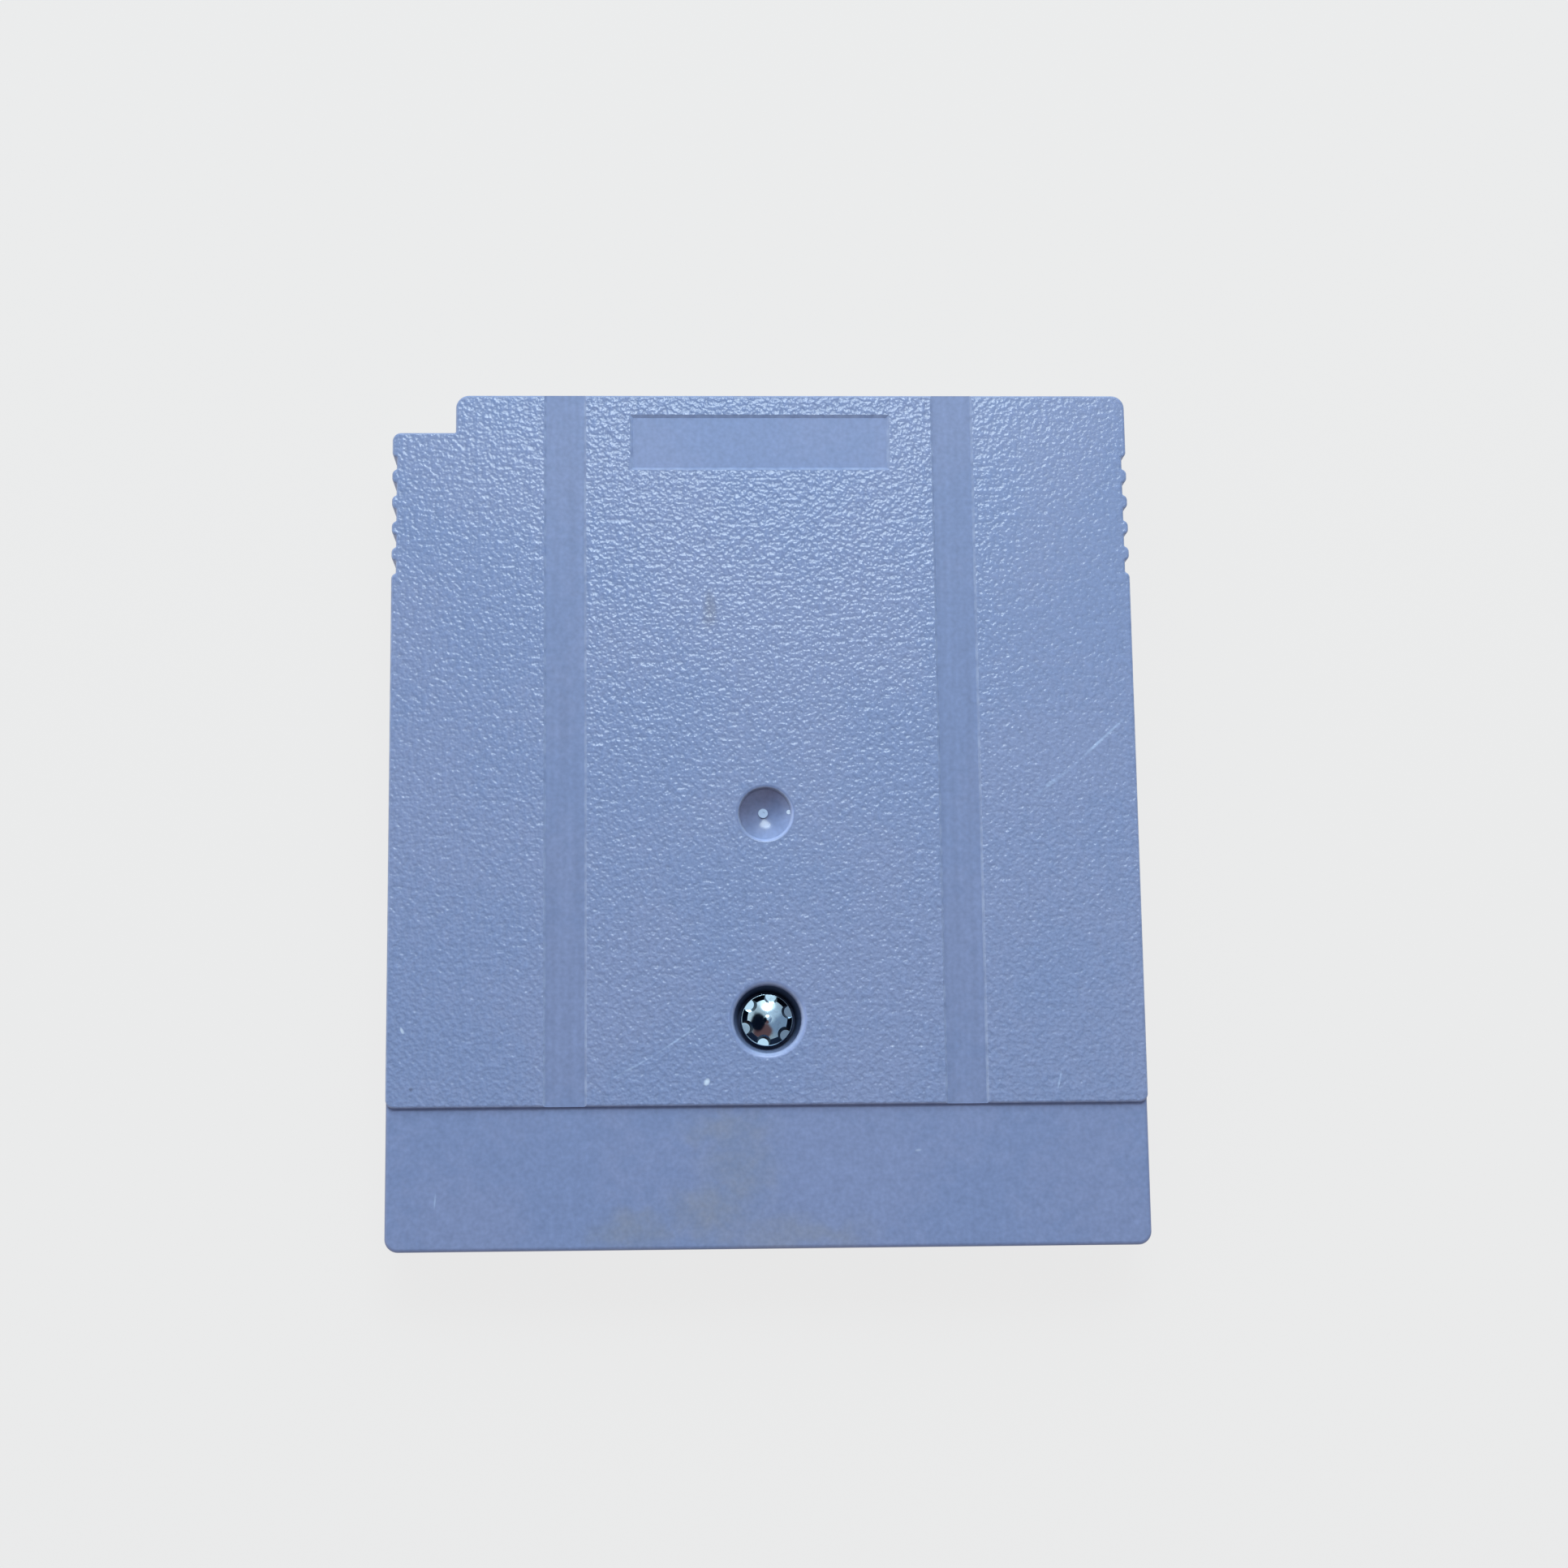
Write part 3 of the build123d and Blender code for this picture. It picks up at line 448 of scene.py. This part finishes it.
def cell_steel():
    mat, n = material("cell_steel")
    p = n.mm()
    x, y, z = n.xyz(p)
    dx, dy = n.sub(x, 15.2), n.sub(y, 12.0)
    r = n.math("SQRT", n.mad(dx, dx, n.mul(dy, dy)))
    ring = n.noise(n.join(n.mul(r, 7.0), n.mul(n.math("ARCTAN2", dy, dx), 0.9), n.mul(z, 5.0)), 1.0, 3.0, 0.6)
    cloud = n.noise(p, 0.35, 3.0, 0.6)
    c = n.mix(n.ease(cloud, 0.42, 0.70), (0.70, 0.70, 0.69), (0.58, 0.58, 0.57))
    c = n.gain(c, n.mad(ring, 0.20, 0.90))
    finish(n, c, n.mad(ring, 0.12, n.mad(cloud, 0.12, 0.20)), None, n.bump(ring, 0.006), Metallic=1.0)
    return mat


# ------------------------------------------------------------------ board and its parts


def board_laminate():
    mat, n = material("board_solder_mask")
    p = n.mm()
    x, y, z = n.xyz(p)
    _, _, nz = n.xyz(n.normal())
    face = n.ease(n.math("ABSOLUTE", nz), 0.4, 0.7)
    on_top = n.ease(nz, 0.4, 0.7)
    flat = n.join(x, y, n.mul(on_top, 40.0))
    # copper tracks under the mask, in runs at right angles, with plated holes where they meet
    t1 = n.cells(n.vec("MULTIPLY", flat, (1.0, 0.42, 1.0)), 0.62, "F1", "CHEBYCHEV", 0.85)
    t2 = n.cells(n.vec("MULTIPLY", flat, (0.42, 1.0, 1.0)), 0.50, "F1", "CHEBYCHEV", 0.85)
    track = n.top(n.ease(n.math("ABSOLUTE", n.sub(t1, 0.34)), 0.085, 0.05), n.ease(n.math("ABSOLUTE", n.sub(t2, 0.30)), 0.085, 0.05))
    fan = n.mul(n.ease(n.math("ABSOLUTE", n.sub(n.math("FRACT", n.mad(x, 1.0 / 1.5, 0.5)), 0.5)), 0.20, 0.14), n.ease(y, -17.2, -17.8))
    track = n.blend(n.ease(y, -16.6, -17.4), track, fan)
    hole = n.cells(flat, 0.19, "F1", "EUCLIDEAN", 1.0)
    via = n.mul(n.ease(hole, 0.095, 0.085), n.ease(y, -17.5, -17.0))
    core = n.ease(hole, 0.045, 0.038)
    cloud = n.noise(p, 0.25, 3.0, 0.55)
    weave = n.noise(n.vec("MULTIPLY", p, (2.0, 2.0, 8.0)), 1.4, 2.0, 0.6)
    green = n.mix(n.ease(cloud, 0.35, 0.70), (0.012, 0.085, 0.040), (0.018, 0.105, 0.050))
    lit = n.mix(track, green, (0.035, 0.175, 0.075))
    lit = n.mix(via, lit, (0.50, 0.46, 0.36))
    lit = n.mix(n.mul(core, via), lit, (0.01, 0.01, 0.01))
    # printed outlines round the parts, on the side that carries them
    ink = None
    for cx, cy, w, h in ((-17.0, 10.0, 12.6, 21.6), (-2.2, 10.5, 9.6, 19.0), (-14.5, -9.8, 16.4, 8.6), (9.5, -6.6, 5.8, 5.2), (15.8, -5.0, 3.6, 2.6)):
        ring = n.ease(n.math("ABSOLUTE", n.to_box(x, y, cx, cy, w, h)), 0.11, 0.06)
        ink = ring if ink is None else n.top(ink, ring)
    ring = n.ease(n.math("ABSOLUTE", n.sub(n.to_point(x, y, 15.2, 12.0), 10.5)), 0.11, 0.06)
    ink = n.mul(n.mul(n.top(ink, ring), on_top), n.line(n.noise(p, 4.0, 2.0, 0.6), 0.20, 0.42))
    lit = n.mix(n.mul(ink, 0.85), lit, (0.62, 0.63, 0.58))
    edge = n.mix(weave, (0.20, 0.16, 0.075), (0.32, 0.27, 0.14))
    colour = n.mix(face, edge, lit)
    height = n.add(n.mul(track, 0.8), n.mad(weave, 0.14, n.mul(ink, 0.5)))
    rough = n.blend(face, 0.7, n.mad(cloud, 0.18, n.mad(ink, 0.25, 0.22)))
    finish(n, colour, rough, None, n.bump(height, 0.020), Specular_IOR_Level=0.5)
    return mat


def chip_epoxy(name):
    mat, n = material(name)
    p = n.mm()
    grain = n.noise(p, 9.0, 3.0, 0.65)
    cloud = n.noise(p, 0.6, 3.0, 0.6)
    scuff = n.ease(n.noise(n.vec("MULTIPLY", p, (0.5, 5.0, 1.0)), 1.3, 3.0, 0.65), 0.60, 0.78)
    c = n.mix(n.ease(cloud, 0.35, 0.7), (0.017, 0.017, 0.019), (0.028, 0.028, 0.030))
    c = n.mix(n.mul(scuff, 0.35), c, (0.10, 0.10, 0.105))
    c = n.gain(c, n.mad(grain, 0.5, 0.75))
    finish(n, c, n.mad(grain, 0.22, n.mad(scuff, -0.12, 0.46)), None, n.bump(grain, 0.020), Specular_IOR_Level=0.45)
    return mat


def two_ended(name, body, body2, parts, cap):
    """Small ceramic chips with tinned ends: parts are (x, y, length, along x or y)."""
    mat, n = material(name)
    p = n.mm()
    x, y, z = n.xyz(p)
    ends = None
    for cx, cy, length, along in parts:
        u, v, cu, cv = (x, y, cx, cy) if along == "x" else (y, x, cy, cx)
        du = n.math("ABSOLUTE", n.sub(u, cu))
        e = n.mul(n.ease(du, length / 2 - cap - 0.04, length / 2 - cap + 0.04), n.mul(n.ease(du, length / 2 + 0.6, length / 2 + 0.5), n.ease(n.math("ABSOLUTE", n.sub(v, cv)), 1.6, 1.5)))
        ends = e if ends is None else n.top(ends, e)
    grain = n.noise(p, 8.0, 3.0, 0.6)
    cloud = n.noise(p, 1.2, 2.0, 0.6)
    c = n.mix(n.ease(cloud, 0.35, 0.68), body, body2)
    c = n.gain(c, n.mad(grain, 0.24, 0.88))
    tin = n.mix(n.ease(cloud, 0.4, 0.7), (0.70, 0.69, 0.66), (0.56, 0.55, 0.52))
    c = n.mix(ends, c, tin)
    finish(n, c, n.blend(ends, n.mad(grain, 0.2, 0.42), n.mad(cloud, 0.2, 0.22)), ends, n.bump(grain, 0.010))
    return mat


# ------------------------------------------------------------------ label: plain fields of colour on coated paper


def label_paper():
    mat, n = material("label_print")
    p = n.mm()
    x, y, z = n.xyz(p)
    _, _, nz = n.xyz(n.normal())
    u = n.mul(x, -1.0)          # to the right when the label is looked at
    v = n.add(y, 4.4)
    soft = n.noise(n.join(u, v, 0.0), 0.12, 2.0, 0.5)
    # evening sky over three lines of hills, with a plain disc for the sun
    up = n.line(v, -16.0, 18.0)
    sky = n.ramp(n.add(up, n.mul(n.sub(soft, 0.5), 0.06)), [(0.10, (0.80, 0.46, 0.20)), (0.36, (0.72, 0.60, 0.42)), (0.62, (0.24, 0.42, 0.50)), (1.0, (0.045, 0.12, 0.24))])
    disc = n.to_point(u, v, 6.5, 1.5)
    sky = n.mix(n.mul(n.ease(disc, 11.0, 4.6), 0.35), sky, (0.90, 0.66, 0.34))
    sky = n.mix(n.ease(disc, 4.66, 4.54), sky, (0.92, 0.80, 0.52))

    def hill(base, swell, length, phase, rugged):
        wave = n.mul(n.math("SINE", n.mad(u, 2 * math.pi / length, phase)), swell)
        rough = n.mul(n.sub(n.noise(n.join(u, phase * 7.0, 0.0), rugged, 3.0, 0.55), 0.5), swell * 1.6)
        return n.ease(n.sub(v, n.add(base, n.add(wave, rough))), 0.06, -0.06)

    art = n.mix(hill(-3.2, 2.4, 31.0, 0.6, 0.22), sky, (0.16, 0.27, 0.33))
    art = n.mix(hill(-7.4, 2.0, 23.0, 2.1, 0.20), art, (0.075, 0.19, 0.18))
    art = n.mix(hill(-12.2, 1.5, 41.0, 4.0, 0.16), art, (0.022, 0.070, 0.085))
    # side band with plain bars, and a white border
    band = n.ease(u, -15.46, -15.54)
    art = n.mix(band, art, (0.62, 0.63, 0.62))
    for k, tone in enumerate(((0.045, 0.12, 0.24), (0.72, 0.36, 0.13), (0.075, 0.19, 0.18))):
        bar = n.mul(n.ease(n.to_box(u, v, -17.9, 11.0 - 4.6 * k, 2.4, 3.2), 0.06, -0.06), band)
        art = n.mix(bar, art, tone)
    rule = n.ease(n.math("ABSOLUTE", n.add(u, 15.5)), 0.14, 0.08)
    art = n.mix(rule, art, (0.86, 0.86, 0.84))
    inside = n.to_box(u, v, 0.0, 0.0, 42.3, 37.3)
    border = n.ease(inside, -0.78, -0.70)
    art = n.mix(border, art, (0.80, 0.80, 0.78))
    # the print: a faint screen, sun-faded clouds, rubbed edges, hairline scuffs
    screen = n.noise(n.join(u, v, 0.0), 11.0, 1.0, 0.5)
    cloud = n.noise(p, 0.14, 3.0, 0.6)
    art = n.gain(art, n.mad(screen, 0.10, n.mad(cloud, 0.14, 0.88)))
    fade = n.ease(n.noise(n.vec("ADD", p, (20.0, 3.0, 0.0)), 0.09, 3.0, 0.6), 0.50, 0.80)
    art = n.mix(n.mul(fade, 0.16), art, (0.62, 0.60, 0.56))
    frayed = n.mul(n.ease(n.add(inside, n.mul(n.sub(n.noise(p, 1.2, 3.0, 0.65), 0.5), 1.3)), -0.42, -0.10), 0.9)
    scuff = n.mul(n.ease(n.noise(n.vec("MULTIPLY", p, (0.25, 5.0, 1.0)), 1.1, 3.0, 0.7), 0.66, 0.80), 0.28)
    art = n.mix(n.top(frayed, scuff), art, (0.76, 0.75, 0.71))
    back = n.ease(nz, 0.2, 0.6)
    art = n.mix(back, art, (0.70, 0.69, 0.65))
    fibre = n.noise(p, 3.2, 4.0, 0.65)
    rough = n.mad(frayed, 0.30, n.mad(scuff, 0.6, n.mad(fibre, 0.10, 0.26)))
    finish(n, art, rough, None, n.bump(n.add(fibre, n.mul(frayed, -0.8)), 0.012), Specular_IOR_Level=0.5)
    return mat


# ------------------------------------------------------------------ materials on the nodes

LOOKS = {
    "rear_shell": shell_plastic("shell_rear", True),
    "front_shell": shell_plastic("shell_front", False),
    "front_label": label_paper(),
    "security_screw": screw_metal(),
    "circuit_board": board_laminate(),
    "edge_contacts": gold_plating(),
    "backup_cell": cell_steel(),
    "chip_capacitors": two_ended("capacitor_ceramic", (0.42, 0.29, 0.16), (0.50, 0.37, 0.22), ((-17.0, 23.2, 3.2, "x"), (-2.2, 22.6, 2.0, "x"), (-14.5, -2.7, 2.0, "x"), (9.5, -12.2, 2.0, "x")), 0.45),
    "chip_resistors": two_ended("resistor_ceramic", (0.020, 0.020, 0.024), (0.034, 0.034, 0.038), ((20.4, -4.6, 2.0, "y"), (20.4, -8.6, 2.0, "y"), (15.8, -9.6, 2.0, "x")), 0.40),
    "cell_tab_positive": tinned("tab_nickel_positive", (0.68, 0.66, 0.61), (0.50, 0.46, 0.40), 0.20, (1.0, 8.0, 1.0), ((19.4, 10.6), (19.4, 12.4))),
    "cell_tab_negative": tinned("tab_nickel_negative", (0.67, 0.65, 0.60), (0.50, 0.46, 0.40), 0.20, (1.0, 8.0, 1.0), ((11.0, 9.6), (11.0, 11.4))),
}
EPOXY = chip_epoxy("chip_epoxy")
LEADS = tinned("lead_tin", (0.66, 0.66, 0.64), (0.46, 0.45, 0.42), 0.24, (3.0, 3.0, 3.0))
for part in ("program_chip", "memory_chip", "bank_chip", "supply_chip", "diode"):
    LOOKS[part + "_body"] = EPOXY
    LOOKS[part + "_leads"] = LEADS

for node, obj in NODES.items():
    obj.data.materials.clear()
    obj.data.materials.append(LOOKS[node])

# ------------------------------------------------------------------ the screw's thread, wound on the core of its shank


def wind_thread(name, z0, z1, pitch, root, crest, run):
    """A ridge of V section, z0 to z1, that grows out of the core and sinks back into it over run turns at each end."""
    turns = (z1 - z0) / pitch
    steps = round(turns * 56)
    bm = bmesh.new()
    rings = []
    for i in range(steps + 1):
        t = i / steps
        k = min(1.0, t * turns / run, (1.0 - t) * turns / run)
        k = k * k * (3.0 - 2.0 * k)
        a, zc = 2.0 * math.pi * turns * t, z0 + (z1 - z0) * t
        tip = root + 0.02 + (crest - root - 0.02) * k
        foot = pitch * (0.14 + 0.24 * k)
        ring = []
        for r, dz in ((root, -foot), (tip, -0.05 * pitch), (tip, 0.05 * pitch), (root, foot)):
            ring.append(bm.verts.new(((BORE[0] + r * math.cos(a)) / 1000.0, (BORE[1] + r * math.sin(a)) / 1000.0, (zc + dz) / 1000.0)))
        rings.append(ring)
    for lower, upper in zip(rings, rings[1:]):
        for j in range(4):
            bm.faces.new((lower[j], lower[(j + 1) % 4], upper[(j + 1) % 4], upper[j]))
    bm.faces.new(rings[0])
    bm.faces.new(rings[-1])
    bmesh.ops.recalc_face_normals(bm, faces=bm.faces[:])
    made = bpy.data.meshes.new(name)
    bm.to_mesh(made)
    bm.free()
    made.materials.append(LOOKS["security_screw"])
    obj = bpy.data.objects.new(name, made)
    scene.collection.objects.link(obj)
    return obj


thread = wind_thread("screw_thread", 2.15, 4.85, 0.80, 0.98, 1.27, 0.6)
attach(thread, "root")

# ------------------------------------------------------------------ floor

mesh = bpy.data.meshes.new("floor")
side = 3.0
mesh.from_pydata([(-side, -side, 0), (side, -side, 0), (side, side, 0), (-side, side, 0)], [], [(0, 1, 2, 3)])
floor = bpy.data.objects.new("floor", mesh)
floor.location = (0.0, 0.0, -0.00006)
scene.collection.objects.link(floor)
floor.visible_shadow = False
mat = bpy.data.materials.new("floor_pale")
mat.use_nodes = True
n = Net(mat.node_tree)
out = n.node("ShaderNodeOutputMaterial")
matte = n.node("ShaderNodeBsdfDiffuse")
matte.inputs["Color"].default_value = (0.045, 0.045, 0.045, 1.0)
glow = n.node("ShaderNodeEmission")
glow.inputs["Color"].default_value = (1.0, 1.0, 1.0, 1.0)
glow.inputs["Strength"].default_value = 0.788
both = n.node("ShaderNodeAddShader")
n.t.links.new(matte.outputs[0], both.inputs[0])
n.t.links.new(glow.outputs[0], both.inputs[1])
clear = n.node("ShaderNodeBsdfTransparent")
pick = n.node("ShaderNodeMixShader")
n.t.links.new(n.node("ShaderNodeNewGeometry").outputs["Backfacing"], pick.inputs[0])
n.t.links.new(both.outputs[0], pick.inputs[1])
n.t.links.new(clear.outputs[0], pick.inputs[2])
n.t.links.new(pick.outputs[0], out.inputs["Surface"])
mesh.materials.append(mat)

# ------------------------------------------------------------------ light


def area(name, toward, distance, wide, high, power, colour=(1.0, 1.0, 1.0), shape="RECTANGLE"):
    data = bpy.data.lights.new(name, "AREA")
    data.shape = shape
    data.size, data.size_y = wide, high
    data.energy = power
    data.color = colour
    obj = bpy.data.objects.new(name, data)
    d = Vector(toward).normalized()
    obj.location = d * distance
    obj.rotation_mode = "QUATERNION"
    obj.rotation_quaternion = (-d).to_track_quat("-Z", "Y")
    obj.visible_camera = False
    scene.collection.objects.link(obj)
    return obj


window = area("key_window", (-0.05, 0.68, 0.73), 0.30, 0.35, 0.22, 0.42, (0.64, 0.97, 1.04))
window.visible_glossy = False       # its shape in the polished metal is the pane below
area("top_lamp", (0.03, 0.505, 0.859), 0.32, 0.12, 0.09, 0.255, (0.85, 0.99, 1.01), "ELLIPSE")
area("under_fill", (0.0, -0.05, -1.0), 0.45, 0.5, 0.5, 1.0)

world = bpy.data.worlds.new("studio")
scene.world = world
world.use_nodes = True
w = Net(world.node_tree)
wout = w.node("ShaderNodeOutputWorld")
ray = w.node("ShaderNodeTexCoord").outputs["Generated"]
dirx, diry, dirz = w.xyz(ray)


def lobe(toward, inner, outer):
    """1 within inner degrees of a direction, falling to 0 at outer degrees."""
    d = Vector(toward).normalized()
    return w.ease(w.vec("DOT_PRODUCT", ray, tuple(d)), math.cos(math.radians(outer)), math.cos(math.radians(inner)))


def patch(cx, cy, hx, hy, soft):
    """1 inside an oval on the map of directions seen from above, with soft edges."""
    far = w.vec("LENGTH", w.vec("MULTIPLY_ADD", ray, (1.0 / hx, 1.0 / hy, 0.0), (-cx / hx, -cy / hy, 0.0)))
    return w.mul(w.ease(far, 1.0 + soft, 1.0 - soft), w.ease(dirz, 0.2, 0.4))


room = w.mix(w.ease(diry, -0.7, 0.7), (0.415, 0.415, 0.42), (0.515, 0.53, 0.55))
room = w.mix(lobe((0.0, 0.95, 0.30), 12.0, 42.0), room, (1.00, 1.04, 1.06))
room = w.mix(patch(0.50, -0.08, 0.46, 0.56, 0.45), room, (0.25, 0.29, 0.38))
room = w.mix(patch(0.30, 0.36, 0.24, 0.22, 0.60), room, (0.56, 0.60, 0.68))
room = w.mix(lobe((0.12, 0.09, 0.985), 3.0, 17.0), room, (0.86, 0.90, 0.96))
room = w.mix(lobe((-0.95, 0.15, 0.25), 10.0, 45.0), room, (1.10, 1.10, 1.10))
room = w.mix(patch(0.06, 0.60, 0.26, 0.17, 0.50), room, (1.80, 1.86, 1.90))
room = w.mix(patch(-0.13, -0.41, 0.38, 0.27, 0.22), room, (0.15, 0.066, 0.066))
room = w.mix(patch(-0.34, -0.04, 0.27, 0.38, 0.18), room, (0.003, 0.005, 0.012))
room = w.mix(w.ease(dirz, 0.0, -0.02), room, (0.0, 0.0, 0.0))
seen = w.node("ShaderNodeBackground")
seen.inputs["Color"].default_value = (0.83, 0.83, 0.83, 1.0)
seen.inputs["Strength"].default_value = 1.0
lit = w.node("ShaderNodeBackground")
w.put(lit.inputs["Color"], room)
lit.inputs["Strength"].default_value = 1.0
choose = w.node("ShaderNodeMixShader")
w.t.links.new(w.node("ShaderNodeLightPath").outputs["Is Camera Ray"], choose.inputs[0])
w.t.links.new(lit.outputs[0], choose.inputs[1])
w.t.links.new(seen.outputs[0], choose.inputs[2])
w.t.links.new(choose.outputs[0], wout.inputs["Surface"])

scene.view_settings.view_transform = "Standard"
scene.view_settings.look = "None"
scene.view_settings.exposure = 0.0
scene.view_settings.gamma = 1.0

# ------------------------------------------------------------------ camera, solved from the outline of the rear face in an image of 1932 x 1932

IMAGE = 1932.0
FOCAL = 3200.0
cam_data = bpy.data.cameras.new("camera")
cam_data.sensor_fit = "HORIZONTAL"
cam_data.sensor_width = 36.0
cam_data.lens = FOCAL / IMAGE * 36.0
cam_data.shift_x = 50.0 / IMAGE
cam_data.clip_start = 0.005
cam_data.clip_end = 20.0
cam = bpy.data.objects.new("camera", cam_data)
turn = Matrix((
    (0.999309, 0.004690, -0.036875),
    (-0.010534, 0.987072, -0.159930),
    (0.035648, 0.160208, 0.986439),
))
cam.matrix_world = Matrix.Translation(Vector((-8.91997, -29.51188, 202.58628)) / 1000.0) @ turn.to_4x4()
scene.collection.objects.link(cam)
scene.camera = cam
